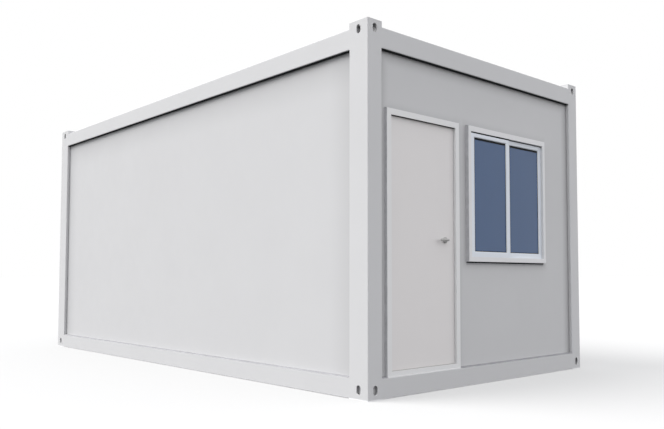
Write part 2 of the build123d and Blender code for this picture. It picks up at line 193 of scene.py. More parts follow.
class CabinStudio(bpy.types.PropertyGroup):
    """Camera, floor and light of the picture. A lamp's strength is in watts per square metre."""

    camera_place: vector(
        "Camera place", "Where the camera stands", (-5.2392, -6.9370, 0.9199), "TRANSLATION", "LENGTH"
    )
    camera_yaw: angle("Camera yaw", "Turn of the view from +Y towards +X", 42.787)
    camera_pitch: angle("Camera pitch", "Rise of the view above the horizon", 3.002)
    focal_pixels: number("Focal length", "Focal length in pixels of the picture", 725.77, "PIXEL")
    view_centre: vector("View centre", "Pixel of the picture on the view axis", (355.65, 239.23), "NONE")
    key_direction: vector("Key direction", "Towards the key light", (-0.490, 0.416, 0.766), "DIRECTION")
    key_strength: number("Key strength", "Irradiance of the key light", 4.0)
    key_spread: angle("Key spread", "Angle that the key light fills", 40)
    key_colour: colour("Key colour", "Colour of the key light", "#FFFEFC")
    fill_direction: vector("Fill direction", "Towards the fill light", (-0.12, -0.85, 0.51), "DIRECTION")
    fill_strength: number("Fill strength", "Irradiance of the fill light", 1.1)
    fill_spread: angle("Fill spread", "Angle that the fill light fills", 150)
    sky: colour("Sky", "Colour of the even light from above", "#FAFBFF")
    sky_strength: number("Sky strength", "Radiance of the even light from above", 1.16)
    white: colour("White", "Background, and the floor's own white", "#FFFFFF")
    floor: colour("Studio floor", "Floor as the cabin's surfaces see it", "#404040")
    floor_shown: colour("Shown floor", "Lit part of the floor as the picture shows it", "#898989")
    floor_white: number("Floor white", "Share of the floor's white that no shadow darkens", 0.452)


# Meshes and pieces


def pick(geom, kind):
    """The elements of one kind among some elements of a bmesh."""
    return [element for element in geom if isinstance(element, kind)]


def outline_face(bm, points):
    """One flat face through a few points."""
    verts = [bm.verts.new(point) for point in points]
    return bmesh.ops.contextual_create(bm, geom=verts)["faces"][0]


def pull_faces(bm, faces, run):
    """Draw faces out along a run, and close the shape with the faces that it started from."""
    pulled = bmesh.ops.extrude_face_region(bm, geom=faces, use_keep_orig=True)["geom"]
    bmesh.ops.translate(bm, verts=pick(pulled, BMVert), vec=run)


def bar(bm, axis, section, start, end):
    """A bar from a start to an end along an axis, with its section in the other two axes."""
    points = [(*spot[:axis], start, *spot[axis:]) for spot in section]
    run = Vector()
    run[axis] = end - start
    pull_faces(bm, [outline_face(bm, points)], run)


def upright_ring(bm, across, up, through, width, top_extra=0):
    """A flat upright ring: a rectangle, given by its spans across and up, inset by a width and pulled
    through a span in y. Its top can be wider than its other sides."""
    low_y, high_y = through
    corners = ((across[0], up[0]), (across[1], up[0]), (across[1], up[1]), (across[0], up[1]))
    face = outline_face(bm, [(x, low_y, z) for x, z in corners])
    bmesh.ops.inset_region(bm, faces=[face], thickness=width, use_even_offset=True, use_boundary=True)
    inner_top = [vert for vert in face.verts if vert.co.z > sum(up) / 2]
    bmesh.ops.translate(bm, verts=inner_top, vec=(0, 0, -top_extra))
    ring = [other for edge in face.edges for other in edge.link_faces if other is not face]
    bmesh.ops.delete(bm, geom=[face], context="FACES_ONLY")
    pull_faces(bm, ring, (0, high_y - low_y, 0))


def eased_block(bm, low, high, ease):
    """A block between two corners, with its edges eased."""
    to_place = Matrix.Translation((low + high) / 2) @ Matrix.Diagonal((*(high - low), 1))
    made = bmesh.ops.create_cube(bm, size=1, matrix=to_place)["verts"]
    edges = list({edge for vert in made for edge in vert.link_edges})
    bmesh.ops.bevel(bm, geom=edges, offset=ease, affect="EDGES", segments=2, profile=0.5, material=-1)


def screw_head(bm, place, turn, radius, height, sides=14):
    """A screw's head with an eased rim, standing on a surface at a place."""
    rim = height * 0.35
    to_place = Matrix.Translation(place) @ turn
    rings = []
    for ring_radius, rise in ((radius, 0), (radius, height - rim), (radius - rim, height)):
        made = bmesh.ops.create_circle(
            bm, segments=sides, radius=ring_radius, matrix=to_place @ Matrix.Translation((0, 0, rise))
        )
        rings.append(made["verts"])
    for lower, upper in zip(rings, rings[1:]):
        loops = {edge for vert in lower + upper for edge in vert.link_edges}
        bmesh.ops.bridge_loops(bm, edges=list(loops))
    bmesh.ops.contextual_create(bm, geom=rings[-1])


def placed_mesh(bm, name, material):
    """An object in the scene, made of a bmesh and with its material."""
    mesh = bpy.data.meshes.new(name)
    bm.to_mesh(mesh)
    bm.free()
    mesh.materials.append(material)
    placed = bpy.data.objects.new(name, mesh)
    bpy.context.scene.collection.objects.link(placed)
    return placed


def finish_piece(bm, name, material, body, replaced=()):
    """Make a named piece of a bmesh, with its finish, which rides on a body."""
    bmesh.ops.remove_doubles(bm, verts=bm.verts, dist=WELD_DISTANCE)
    bmesh.ops.recalc_face_normals(bm, faces=bm.faces)
    piece = placed_mesh(bm, name, material)
    piece.data.shade_smooth()
    piece.data.set_sharp_from_angle(angle=SHARP_ANGLE)
    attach(piece, body)
    if replaced:
        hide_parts(*replaced)


def nodes_named(*starts):
    """The CAD nodes whose names start with one of some words."""
    return [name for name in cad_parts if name.startswith(starts)]


def coat(names, material):
    """Give CAD nodes their finish."""
    for name in names:
        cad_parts[name].data.materials.clear()
        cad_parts[name].data.materials.append(material)


# Materials


def set_inputs(tree, node, inputs):
    """Set a node's inputs, each to a value, to another node's output, or to another node's first output."""
    for socket, value in inputs.items():
        source = value.outputs[0] if isinstance(value, bpy.types.Node) else value
        if isinstance(source, bpy.types.NodeSocket):
            tree.links.new(source, node.inputs[socket])
        else:
            node.inputs[socket].default_value = source


def add_node(tree, kind, inputs=None, **settings):
    """Add one node with its settings and its inputs."""
    node = tree.nodes.new(kind)
    for name, value in settings.items():
        setattr(node, name, value)
    set_inputs(tree, node, inputs or {})
    return node


def cleared_tree(owner):
    """The node tree of a material or a world, emptied."""
    owner.use_nodes = True
    owner.node_tree.nodes.clear()
    return owner.node_tree


def new_material(name):
    """A material, its node tree, its surface and its place in Object coordinates."""
    material = bpy.data.materials.new(name)
    tree = cleared_tree(material)
    place = add_node(tree, "ShaderNodeTexCoord").outputs["Object"]
    surface = add_node(tree, "ShaderNodeBsdfPrincipled")
    add_node(tree, "ShaderNodeOutputMaterial", {"Surface": surface})
    return material, tree, surface, place


def shade(rgba, factor):
    """A colour made lighter or darker."""
    return (*(min(1, channel * factor) for channel in rgba[:3]), 1.0)


def painted_shading_film(tree, across, up, recess, depth, reach, proud=()):
    """A film of painted shade on a surface: one in the open, and less by a depth at the edge of a recess and
    at pieces that stand proud in it, each given as its spans across and up. Where the depth is below zero it
    is more, and paints light instead of shade."""

    def beyond(value, span):
        """How far a value lies outside a span; less than zero within it."""
        low, high = span
        off_middle = add_node(tree, "ShaderNodeMath", {0: value, 1: (low + high) / 2}, operation="SUBTRACT")
        distance = add_node(tree, "ShaderNodeMath", {0: off_middle}, operation="ABSOLUTE")
        return add_node(tree, "ShaderNodeMath", {0: distance, 1: (high - low) / 2}, operation="SUBTRACT")

    def outside(spans):
        """How far a point lies outside a rectangle."""
        pair = {0: beyond(across, spans[0]), 1: beyond(up, spans[1])}
        return add_node(tree, "ShaderNodeMath", pair, operation="MAXIMUM")

    nearest = add_node(tree, "ShaderNodeMath", {0: outside(recess), 1: -1}, operation="MULTIPLY")
    for spans in proud:
        nearest = add_node(tree, "ShaderNodeMath", {0: nearest, 1: outside(spans)}, operation="MINIMUM")
    edge = {"Value": nearest, "From Max": reach, "To Min": 1 - depth, "To Max": 1}
    return add_node(tree, "ShaderNodeMapRange", edge, interpolation_type="SMOOTHSTEP")


def cell_values(tree, place, size):
    """Three random values for each cell of a pattern, whose cells are a size in millimetres across."""
    cells = add_node(tree, "ShaderNodeTexVoronoi", {"Vector": place, "Scale": per_mm(size)})
    return add_node(tree, "ShaderNodeSeparateColor", {"Color": cells.outputs["Color"]}).outputs


def vary_finish(tree, surface, tint, shades, tint_pattern, roughness, rough_pattern):
    """Let one pattern move a surface between two shades of its tint, and one between two roughnesses."""
    dark, light = (shade(tint, factor) for factor in shades)
    base = add_node(tree, "ShaderNodeMixRGB", {"Fac": tint_pattern, "Color1": dark, "Color2": light})
    spread = {"Value": rough_pattern, "To Min": roughness[0], "To Max": roughness[1]}
    blur = add_node(tree, "ShaderNodeMapRange", spread)
    set_inputs(tree, surface, {"Base Color": base, "Roughness": blur})


def coated_steel(name, paint, shading_films=(), roughness=0.5, grain=30, grain_depth=0.1):
    """Sheet steel under a baked coat: an even colour with a faint cloudiness, a soft sheen that varies a
    little over the sheet, and the fine orange peel of the coat, drawn coarser than life so that it shows.
    Grain and grain depth are in millimetres. Each film is the axis that runs across the sheet, and the
    values of a painted shade on the colour, which paints light instead where its depth is below zero."""
    material, tree, surface, place = new_material(name)
    drift = {"Vector": place, "Scale": per_mm(650), "Detail": 3, "Roughness": 0.6}
    cloud = add_node(tree, "ShaderNodeTexNoise", drift)
    tints = {"Fac": cloud, "Color1": shade(paint, 0.975), "Color2": shade(paint, 1.025)}
    base = add_node(tree, "ShaderNodeMixRGB", tints)
    # Painted shade: each film darkens the colour near a recess's edges and near proud pieces, and one whose
    # depth is below zero lightens it as painted light
    for axis, edges in shading_films:
        spot = add_node(tree, "ShaderNodeSeparateXYZ", {"Vector": place})
        film = painted_shading_film(tree, spot.outputs[axis], spot.outputs["Z"], **edges)
        layers = {"Fac": 1, "Color1": base, "Color2": film}
        base = add_node(tree, "ShaderNodeMixRGB", layers, blend_type="MULTIPLY")
    wipe = {"Vector": place, "Scale": per_mm(140), "Detail": 4, "Roughness": 0.55}
    smear = add_node(tree, "ShaderNodeTexNoise", wipe)
    sheen_range = {"From Min": 0.3, "From Max": 0.7, "To Min": roughness - 0.05, "To Max": roughness + 0.05}
    sheen = add_node(tree, "ShaderNodeMapRange", {"Value": smear, **sheen_range})
    peel = add_node(tree, "ShaderNodeTexNoise", {"Vector": place, "Scale": per_mm(grain), "Detail": 1})
    height = {"Height": peel, "Strength": 0.25, "Distance": grain_depth * MM}
    relief = add_node(tree, "ShaderNodeBump", height)
    set_inputs(tree, surface, {"Base Color": base, "Roughness": sheen, "Normal": relief, "IOR": 1.5})
    return material


def moulded_plastic(name, tint):
    """Extruded rigid PVC: a clean pale body with a low gloss and the faint drawn lines of the die."""
    material, tree, surface, place = new_material(name)
    stretch = {"Vector": place, "Scale": (per_mm(18), per_mm(18), per_mm(400))}
    drawn = add_node(tree, "ShaderNodeMapping", stretch)
    lines = add_node(tree, "ShaderNodeTexNoise", {"Vector": drawn, "Scale": 1, "Detail": 2})
    vary_finish(tree, surface, tint, (0.98, 1.02), lines, (0.26, 0.4), lines)
    relief = add_node(tree, "ShaderNodeBump", {"Height": lines, "Strength": 0.12, "Distance": 0.2 * MM})
    set_inputs(tree, surface, {"Normal": relief, "IOR": 1.53})
    return material


def tinted_glass(name, tint):
    """Body-tinted float glass over a dim room: a flat blue-grey that lets a little light through, mirror
    smooth, with the slow waves that toughening leaves."""
    material, tree, surface, place = new_material(name)
    wave = add_node(tree, "ShaderNodeTexNoise", {"Vector": place, "Scale": per_mm(260), "Detail": 0})
    relief = add_node(tree, "ShaderNodeBump", {"Height": wave, "Strength": 0.1, "Distance": 0.5 * MM})
    body = {"Base Color": tuple(tint), "Roughness": 0.02, "IOR": 1.5, "Transmission Weight": 0.45}
    set_inputs(tree, surface, {**body, "Normal": relief})
    return material


def cellular_rubber(name, tint, gloss=0.5):
    """Extruded EPDM rubber, or sealant from a gun: one dull tint, with a chalky bloom in patches."""
    material, tree, surface, place = new_material(name)
    bloom = add_node(tree, "ShaderNodeTexNoise", {"Vector": place, "Scale": per_mm(60), "Detail": 4})
    tints = {"Fac": bloom, "Color1": tuple(tint), "Color2": shade(tint, 1.6)}
    base = add_node(tree, "ShaderNodeMixRGB", tints)
    relief = add_node(tree, "ShaderNodeBump", {"Height": bloom, "Strength": 0.2, "Distance": 0.3 * MM})
    dull = {"Roughness": 0.8, "Specular IOR Level": gloss, "IOR": 1.25}
    set_inputs(tree, surface, {**dull, "Base Color": base, "Normal": relief})
    return material


def satin_steel(name, tint):
    """Brushed stainless steel: a grey metal whose fine lines run across the cabin and blur what it mirrors.
    The lines are drawn a few times wider than life, so that they show."""
    material, tree, surface, place = new_material(name)
    stretch = {"Vector": place, "Scale": (per_mm(60), per_mm(2), per_mm(2))}
    brushed = add_node(tree, "ShaderNodeMapping", stretch)
    lines = add_node(tree, "ShaderNodeTexNoise", {"Vector": brushed, "Scale": 1, "Detail": 3})
    vary_finish(tree, surface, tint, (0.85, 1.1), lines, (0.24, 0.42), lines)
    relief = add_node(tree, "ShaderNodeBump", {"Height": lines, "Strength": 0.15, "Distance": 0.1 * MM})
    set_inputs(tree, surface, {"Metallic": 1.0, "Normal": relief})
    return material


def lacquered_zinc(name, tint):
    """Die-cast zinc under a satin grey lacquer: an even body that shades softly from its lit top to its dark
    underside, with the slight ripple of the polished casting."""
    material, tree, surface, place = new_material(name)
    ripple = add_node(tree, "ShaderNodeTexNoise", {"Vector": place, "Scale": per_mm(9), "Detail": 2})
    vary_finish(tree, surface, tint, (0.94, 1.06), ripple, (0.3, 0.42), ripple)
    relief = add_node(tree, "ShaderNodeBump", {"Height": ripple, "Strength": 0.12, "Distance": 0.15 * MM})
    set_inputs(tree, surface, {"Normal": relief, "IOR": 1.5})
    return material


def galvanised_steel(name, tint):
    """Hot-dip galvanised sheet: a pale grey metal broken into spangle, crystals that each shine a little
    differently. The crystals are drawn about twice as wide as life, so that they show."""
    material, tree, surface, place = new_material(name)
    crystal = cell_values(tree, place, 45)
    vary_finish(tree, surface, tint, (0.84, 1.08), crystal["Red"], (0.36, 0.55), crystal["Green"])
    set_inputs(tree, surface, {"Metallic": 1.0})
    return material


def sheet_vinyl(name, tint):
    """Sheet vinyl flooring: mid grey with pressed-in chips, lighter and darker, under a dull wear coat. The
    chips are drawn twice as wide as life, so that they show."""
    material, tree, surface, place = new_material(name)
    chip = cell_values(tree, place, 14)
    scuff = add_node(tree, "ShaderNodeTexNoise", {"Vector": place, "Scale": per_mm(220), "Detail": 5})
    vary_finish(tree, surface, tint, (0.72, 1.28), chip["Red"], (0.4, 0.62), scuff)
    set_inputs(tree, surface, {"IOR": 1.5})
    return material


# Operators, one for each group of like pieces


class CABIN_OT_frame(bpy.types.Operator):
    """Paint the posts, the rails and the corner fittings, and line the lower fittings"""

    bl_idname = "cabin.frame"
    bl_label = "Frame"

    def execute(self, context):
        tint = context.scene.cabin_colours.frame_paint
        above_foot = (cad_box[0].z, ENDLESS[1])
        # Painted light: the frame's colour is up to 1.6 times paler within 13 mm of the foot, where the
        # folded lower edge lies in shade
        shading_films = [("X", {"recess": (ENDLESS, above_foot), "depth": -0.6, "reach": 13 * MM})]
        paint = coated_steel(
            "polyester_powder_paint_on_steel", tint, shading_films, roughness=0.45, grain=24, grain_depth=0.12
        )
        coat(nodes_named("corner_post", "corner_fitting", "top_rail", "bottom_rail"), paint)
        self.line_fittings(paint)
        return {"FINISHED"}

    def line_fittings(self, paint):
        """A folded plate in each lower fitting, behind its end hole and its side hole, that keeps dirt out
        of the hollow."""
        wall = 10 * MM
        sheet = 2 * MM
        near = 26 * MM
        far = near + sheet
        liners = bmesh.new()
        for name in nodes_named("corner_fitting_bottom"):
            low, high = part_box(name)
            outer_x, inwards_x = (low.x, 1) if low.x < 0 else (high.x, -1)
            outer_y, inwards_y = (low.y, 1) if low.y < 0 else (high.y, -1)
            end_x = high.x - low.x - wall
            end_y = high.y - low.y - wall
            fold = ((end_x, near), (near, near), (near, end_y), (far, end_y), (far, far), (end_x, far))
            plan = [(outer_x + inwards_x * x, outer_y + inwards_y * y) for x, y in fold]
            bar(liners, UPRIGHT, plan, low.z + wall, high.z - wall)
        finish_piece(liners, "fitting_liners", paint, "cabin")


class CABIN_OT_walls(bpy.types.Operator):
    """Coat the wall panels, with painted shade near their edges, and the rubber seals under the top rails,
    and lay grey sealant on the walls' joints and grey fillets beside the frames as painted shade
    """

    bl_idname = "cabin.walls"
    bl_label = "Walls"

    def execute(self, context):
        colours = context.scene.cabin_colours
        sizes = context.scene.cabin_sizes
        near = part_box("corner_post_front_left")[1]
        along = (near.y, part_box("corner_post_rear_left")[0].y)
        across = (near.x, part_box("corner_post_front_right")[0].x)
        below_seal = (ENDLESS[0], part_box("top_seals")[0].z)
        back = 40 * MM
        frames = []
        for low, high in (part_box("door_jambs"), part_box("window_jambs")):
            frames.append(((low.x + back, high.x - back), (low.z + back, high.z - back)))
        # Painted shade: the front wall is darker within 120 mm of its recess's edges and of the door's and
        # the window's frames
        front_shading = {"recess": (across, below_seal), "depth": 0.2, "reach": 120 * MM, "proud": frames}
        skins = (
            ("side", ("left_wall", "right_wall"), self.plain_shading_films("Y", along, below_seal)),
            ("front", ("front_wall",), [("X", front_shading)]),
            ("rear", ("rear_wall",), self.plain_shading_films("X", across, below_seal)),
        )
        for side, walls, shading_films in skins:
            skin = coated_steel(f"coil_coated_steel_{side}_skin", colours.wall_coating, shading_films)
            coat(nodes_named(*walls), skin)
        # Painted shadow: these seals are black so that they stand in for the dark shade line under the top
        # rails
        coat(["top_seals"], cellular_rubber("epdm_rubber_seal_painted_shadow", colours.rubber))
        self.seal_joints(sizes, cellular_rubber("polyurethane_sealant_painted_shade", colours.sealant, gloss=0))
        self.seal_frames(sizes, cellular_rubber("silicone_sealant_painted_shade", colours.silicone, gloss=0))
        return {"FINISHED"}

    def plain_shading_films(self, axis, between_posts, below_seal):
        """The painted shade on a wall without openings: darker beside the posts, and under the top rail."""
        beside_posts = {"recess": (between_posts, ENDLESS), "depth": 0.1, "reach": 300 * MM}
        under_rail = {"recess": (ENDLESS, below_seal), "depth": 0.14, "reach": 340 * MM}
        return [(axis, beside_posts), (axis, under_rail)]

    def seal_joints(self, sizes, sealant):
        """Grey sealant with a sloped top on the ledges under the walls, and over the heads of door and
        window. Its grey is painted shade along these ledges.
        """
        left_low, left_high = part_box("bottom_rail_left")
        front_low, front_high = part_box("bottom_rail_front")
        wall_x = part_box("left_wall")[0].x
        wall_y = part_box("front_wall_middle")[0].y
        door_low, door_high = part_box("door_jambs")
        window_low, window_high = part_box("window_jambs")
        foot = left_high.z
        # Round the rail's folded edge: inwards from its face and upwards from its top, in millimetres
        rail_edge = ((0.2, -6.2), (0.2, -5.6), (2.5, -1.6), (7.5, 0.7))

        def section(back, face, base):
            """Inwards and upwards, from the wall to the outer face before it."""
            cover = [(face + inwards * MM, base + rise * MM) for inwards, rise in rail_edge]
            return [(back, base), *cover, (back, base + sizes.joint_seal_height)]

        joints = bmesh.new()
        for side in (1, -1):
            points = [(side * x, z) for x, z in section(wall_x, left_low.x, foot)]
            bar(joints, ALONG, points, left_low.y, left_high.y)
        runs = (
            (1, front_low.y, front_low.x, door_low.x, foot),
            (1, front_low.y, door_high.x, front_high.x, foot),
            (1, door_low.y, door_low.x, door_high.x, door_high.z),
            (1, window_low.y, window_low.x, window_high.x, window_high.z),
            (-1, front_low.y, front_low.x, front_high.x, foot),
        )
        for side, face, start, end, base in runs:
            bar(joints, ACROSS, [(side * y, z) for y, z in section(wall_y, face, base)], start, end)
        finish_piece(joints, "joint_sealant_painted_shade", sealant, "cabin")

    def seal_frames(self, sizes, silicone):
        """A thin grey fillet of silicone up the outer sides of the door's and the window's jambs, and under
        the seal of the window's sill: painted shade in the corners beside the frames, and a painted soft
        shadow under the sill."""
        wall_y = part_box("front_wall_middle")[0].y
        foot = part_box("bottom_rail_front")[1].z
        cover = 0.9
        thick = 5 * MM
        drop = 15 * MM
        fillets = bmesh.new()
        for name in ("door_jambs", "window_jambs"):
            low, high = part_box(name)
            reach = wall_y + cover * (low.y - wall_y)
            for side_x, outwards in ((low.x, -1), (high.x, 1)):
                plan = ((side_x, wall_y), (side_x, reach), (side_x + outwards * thick, wall_y))
                bar(fillets, UPRIGHT, plan, max(low.z, foot), high.z)
        low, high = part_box("window_jambs")
        top = low.z - sizes.sill_shadow_seal_height
        section = ((wall_y, top), (wall_y - sizes.sill_shadow_seal_rise / 2, top), (wall_y, top - drop))
        bar(fillets, ACROSS, section, low.x, high.x)
        finish_piece(fillets, "frame_fillets_painted_shade", silicone, "cabin")


class CABIN_OT_roof(bpy.types.Operator):
    """Give the roof sheet and the floor joists their zinc, and screw the sheet down through its ribs"""

    bl_idname = "cabin.roof"
    bl_label = "Roof"

    head_radius: length("Head radius", "Radius of a screw's head across its corners", 6)
    washer_radius: length("Washer radius", "Radius of a screw's washer", 9.5)

    def execute(self, context):
        colours = context.scene.cabin_colours
        pitch = context.scene.cabin_sizes.roof_rib_pitch
        coat(["roof_sheet", "floor_joists"], galvanised_steel("hot_dip_galvanised_sheet", colours.zinc))
        low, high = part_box("roof_sheet")
        rib_count = int((high.y - low.y) / pitch)
        row_gap = 940 * MM
        washer_height = 2 * MM
        head_height = 5 * MM
        heads = bmesh.new()
        washers = bmesh.new()
        for rib in range(rib_count):
            for row in (-1.5, -0.5, 0.5, 1.5):
                place = Vector((row * row_gap, (rib - (rib_count - 1) / 2) * pitch, high.z))
                screw_head(washers, place, UPWARDS, self.washer_radius, washer_height)
                place.z += washer_height
                screw_head(heads, place, UPWARDS, self.head_radius, head_height, sides=6)
        rubber = cellular_rubber("epdm_rubber_washer", colours.rubber)
        finish_piece(washers, "roof_washers", rubber, "cabin")
        zinc = galvanised_steel("zinc_plated_screw", colours.zinc)
        finish_piece(heads, "roof_screws", zinc, "cabin")
        return {"FINISHED"}


class CABIN_OT_room(bpy.types.Operator):
    """Finish the room: floor covering, ceiling, skirting and ceiling strips"""

    bl_idname = "cabin.room"
    bl_label = "Room"

    def execute(self, context):
        colours = context.scene.cabin_colours
        sizes = context.scene.cabin_sizes
        coat(["floor_panel"], sheet_vinyl("chip_sheet_vinyl", colours.floor))
        coat(["ceiling_panel"], coated_steel("coil_coated_steel_ceiling", colours.ceiling_coating))
        trim = moulded_plastic("extruded_pvc_trim", colours.trim_plastic)
        self.lay_skirting(sizes, trim)
        self.cover_joints(sizes, trim)
        return {"FINISHED"}

    def lay_skirting(self, sizes, trim):
        """Skirting along the foot of the walls, open at the door."""
        low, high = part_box("floor_panel")
        door_low, door_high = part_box("door_jambs")
        tall = sizes.skirting_height
        thick = sizes.skirting_thickness
        nose = 4 * MM
        outline = (
            (0, 0), (thick, 0), (thick, 0.2 * tall), (nose, 0.88 * tall), (0.5 * nose, tall), (0, tall),
        )

        def section(wall, inwards):
            """Inwards from a wall and upwards from the floor."""
            return [(wall + inwards * out, high.z + up) for out, up in outline]

        skirting = bmesh.new()
        bar(skirting, ALONG, section(low.x, 1), low.y, high.y)
        bar(skirting, ALONG, section(high.x, -1), low.y, high.y)
        bar(skirting, ACROSS, section(high.y, -1), low.x, high.x)
        bar(skirting, ACROSS, section(low.y, 1), low.x, door_low.x)
        bar(skirting, ACROSS, section(low.y, 1), door_high.x, high.x)
        finish_piece(skirting, "skirting", trim, "cabin")

    def cover_joints(self, sizes, trim):
        """Flat strips over the joints between the ceiling's panels."""
        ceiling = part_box("ceiling_panel")[0].z
        low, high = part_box("floor_panel")
        half = sizes.ceiling_strip_width / 2
        drop = 2.5 * MM
        outline = ((-half, 0), (-half + drop, -drop), (half - drop, -drop), (half, 0))
        strips = bmesh.new()
        joints = int((high.y - low.y) / sizes.ceiling_panel_width)
        for joint in range(joints):
            y = (joint - (joints - 1) / 2) * sizes.ceiling_panel_width
            bar(strips, ACROSS, [(y + out, ceiling + down) for out, down in outline], low.x, high.x)
        finish_piece(strips, "ceiling_strips", trim, "cabin")


class CABIN_OT_door(bpy.types.Operator):
    """Paint the door and its frame, and fit its gasket, brush, tread, latch, strike and hinge screws; the
    black brush under the head is painted shadow
    """

    bl_idname = "cabin.door"
    bl_label = "Door"

    stop_gap: length("Stop gap", "Distance between the closed leaf and the frame's stop", 5)
    screw_radius: length("Screw radius", "Radius of a screw's head", 4)

    def execute(self, context):
        colours = context.scene.cabin_colours
        tint, frame_tint = colours.door_paint, colours.door_frame_paint
        coat(["door_leaf"], coated_steel("baked_enamel_on_door_leaf", tint, roughness=0.42, grain=26))
        enamel = coated_steel("baked_enamel_on_door_frame", frame_tint, roughness=0.4, grain=24)
        coat(["door_jambs", "door_head", "door_threshold"], enamel)
        steel = satin_steel("satin_stainless_steel_hinges", colours.steel)
        coat(["jamb_hinges", "leaf_hinges"], steel)
        rubber = cellular_rubber("epdm_rubber_door_gasket", colours.grey_rubber)
        self.fit_gasket(context.scene.cabin_sizes, rubber)
        self.fit_brush_as_shadow(cellular_rubber("epdm_rubber_door_brush_painted_shadow", colours.rubber))
        self.fit_tread(steel)
        self.fit_latch(steel)
        self.fit_strike(steel)
        self.fit_hinge_screws(steel)
        return {"FINISHED"}

    def fit_gasket(self, sizes, rubber):
        """A gasket on the back of the stop, all round, that the closed leaf presses on."""
        low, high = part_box("door_leaf")
        edge = 1 * MM
        stop = low.y - self.stop_gap
        across = (low.x + edge, high.x - edge)
        up = (low.z + edge, high.z - edge)
        gasket = bmesh.new()
        upright_ring(gasket, across, up, (stop, stop + sizes.door_gasket_rise), sizes.door_gasket_width)
        finish_piece(gasket, "door_gasket", rubber, "cabin")

    def clear_span(self):
        """Where the opening in front of the leaf starts and ends, inside the stops."""
        low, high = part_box("door_leaf")
        hinge_stop = 10 * MM
        latch_stop = 8 * MM
        return low.x + hinge_stop, high.x - latch_stop

    def fit_brush_as_shadow(self, rubber):
        """A flat black seal under the head, in front of the leaf: painted shadow under the head."""
        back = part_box("door_leaf")[0].y - self.stop_gap
        front = back - 10 * MM
        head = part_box("door_head")[0].z
        front_drop = 1.5 * MM
        back_drop = 2.8 * MM
        section = ((front, head), (front, head - front_drop), (back, head - back_drop), (back, head))
        brush = bmesh.new()
        bar(brush, ACROSS, section, *self.clear_span())
        finish_piece(brush, "door_brush_painted_shadow", rubber, "cabin")

    def fit_tread(self, steel):
        """A thin tread over the top of the threshold, in front of the leaf."""
        low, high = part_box("door_threshold")
        front = low.y + 1 * MM
        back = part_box("door_leaf")[0].y - 6 * MM
        top = high.z + 1.2 * MM
        ease = 0.6 * MM
        section = ((front, high.z), (front, top - ease), (front + ease, top), (back, top), (back, high.z))
        tread = bmesh.new()
        bar(tread, ACROSS, section, *self.clear_span())
        finish_piece(tread, "threshold_tread", steel, "cabin")

    def latch_place(self):
        """Where the latch lies: on the leaf's free edge, in the middle of its thickness, at the lever."""
        low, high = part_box("door_leaf")
        rose_low, rose_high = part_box("lever_roses")
        return Vector((high.x, (low.y + high.y) / 2, (rose_low.z + rose_high.z) / 2))

    def fit_latch(self, steel):
        """A face plate with its bolt in the leaf's edge."""
        edge_x, middle_y, lever_z = self.latch_place()
        low_y, high_y = middle_y - 11 * MM, middle_y + 11 * MM
        low_z, high_z = lever_z - 130 * MM, lever_z + 70 * MM
        face_x = edge_x + 2 * MM
        plate = ((low_y, low_z), (high_y, low_z), (high_y, high_z), (low_y, high_z))
        latch = bmesh.new()
        bar(latch, ACROSS, plate, edge_x, face_x)
        bolt_front, bolt_back = middle_y - 6 * MM, middle_y + 6 * MM
        bolt_rise = 2 * MM
        bolt = ((face_x, bolt_front), (face_x + bolt_rise, bolt_front), (face_x, bolt_back))
        bolt_half_height = 9 * MM
        bar(latch, UPRIGHT, bolt, lever_z - bolt_half_height, lever_z + bolt_half_height)
        from_end = 14 * MM
        for z in (low_z + from_end, high_z - from_end):
            spot = Vector((face_x, middle_y, z))
            screw_head(latch, spot, TOWARDS_RIGHT, self.screw_radius, height=0.8 * MM)
        finish_piece(latch, "latch_plate", steel, "door")

    def fit_strike(self, steel):
        """A strike plate on the jamb, open for the bolt."""
        edge_x, middle_y, lever_z = self.latch_place()
        to_jamb = 7 * MM
        half_width = 18 * MM
        half_height = 60 * MM
        thick = 1.5 * MM
        rim = 9 * MM
        up = (lever_z - half_height, lever_z + half_height)
        strike = bmesh.new()
        upright_ring(strike, (-half_width, half_width), up, (0, thick), rim)
        place = Matrix.Translation((edge_x + to_jamb, middle_y, 0)) @ Matrix.Rotation(QUARTER_TURN, 4, "Z")
        bmesh.ops.transform(strike, matrix=place, verts=strike.verts)
        finish_piece(strike, "strike_plate", steel, "cabin")

    def fit_hinge_screws(self, steel):
        """Screws through the hinge plates, on the jamb and on the leaf."""
        jamb_low, jamb_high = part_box("jamb_hinges")
        leaf_low, leaf_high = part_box("leaf_hinges")
        hinge_length = 100 * MM
        plate = 2 * MM
        from_edge = 7 * MM
        head_height = 1 * MM
        top_base = jamb_high.z - hinge_length
        on_jamb = bmesh.new()
        on_leaf = bmesh.new()
        for base in (jamb_low.z, (jamb_low.z + top_base) / 2, top_base):
            for share in (0.14, 0.5, 0.86):
                z = base + share * hinge_length
                jamb_spot = Vector((jamb_low.x + plate, jamb_high.y - from_edge, z))
                leaf_spot = Vector((leaf_high.x - from_edge, leaf_low.y + plate, z))
                screw_head(on_jamb, jamb_spot, TOWARDS_RIGHT, self.screw_radius, head_height)
                screw_head(on_leaf, leaf_spot, TOWARDS_ROOM, self.screw_radius, head_height)
        finish_piece(on_jamb, "jamb_hinge_screws", steel, "cabin")
        finish_piece(on_leaf, "leaf_hinge_screws", steel, "door")


